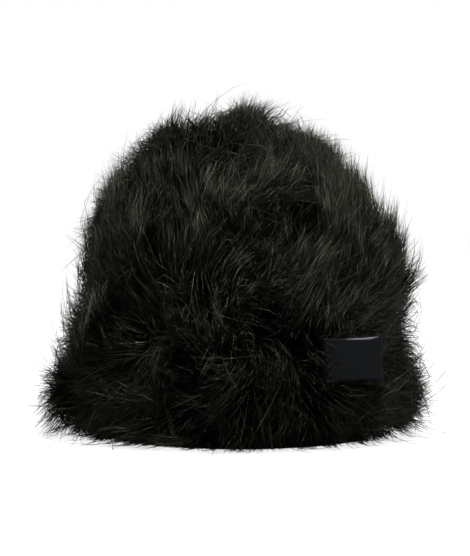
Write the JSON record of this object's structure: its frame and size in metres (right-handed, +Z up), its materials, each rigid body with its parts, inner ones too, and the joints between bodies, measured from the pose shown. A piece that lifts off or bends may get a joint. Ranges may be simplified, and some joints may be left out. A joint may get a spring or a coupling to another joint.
{
  "type": "furry windscreen",
  "caption": "Long-pile fur dome that slips over a small stereo microphone's foam to stop wind noise, with a flat stretch base, an elastic opening and a folded side label.",
  "frame": {"origin": "centre of the flat underside, in the plane that the windscreen stands on", "axes": "+Z up through the crown, -Y to the front, +X to the right seen from the front; the label seam is 27 degrees right of the front"},
  "size_m": [0.091, 0.091, 0.0842],
  "materials": {
    "fur": "long soft synthetic pile, near black, faint sheen along the strands",
    "ground_knit": "matte warp-knitted backing",
    "base_knit": "matte stretch knit",
    "thread": "matte spun polyester thread",
    "elastic": "matte braided elastic",
    "label_weave": "satin-woven ribbon, dark navy, bare"
  },
  "bodies": {
    "cover": {"pile_front": "fur", "ground_front": "ground_knit", "seam_overlock_front": "thread", "pile_front_right": "fur", "ground_front_right": "ground_knit", "seam_overlock_front_right": "thread", "pile_rear_right": "fur", "ground_rear_right": "ground_knit", "seam_overlock_rear_right": "thread", "pile_rear": "fur", "ground_rear": "ground_knit", "seam_overlock_rear": "thread", "pile_rear_left": "fur", "ground_rear_left": "ground_knit", "seam_overlock_rear_left": "thread", "pile_front_left": "fur", "ground_front_left": "ground_knit", "seam_overlock_front_left": "thread", "base_panel": "base_knit", "base_seam_overlock": "thread", "hem_stitching": "thread", "elastic_band": "elastic", "elastic_lap_stitches": "thread", "label_tab": "label_weave"},
    "label": {"label_flap": "label_weave"}
  },
  "joints": [
    {"name": "label_hinge", "type": "hinge", "parent": "cover", "child": "label", "pos_m": [0.0209, -0.04102, 0.0235], "axis": [0, 0, -1], "range_deg": [0, 150], "stiffness_Nm_per_rad": 0.00002}
  ]
}
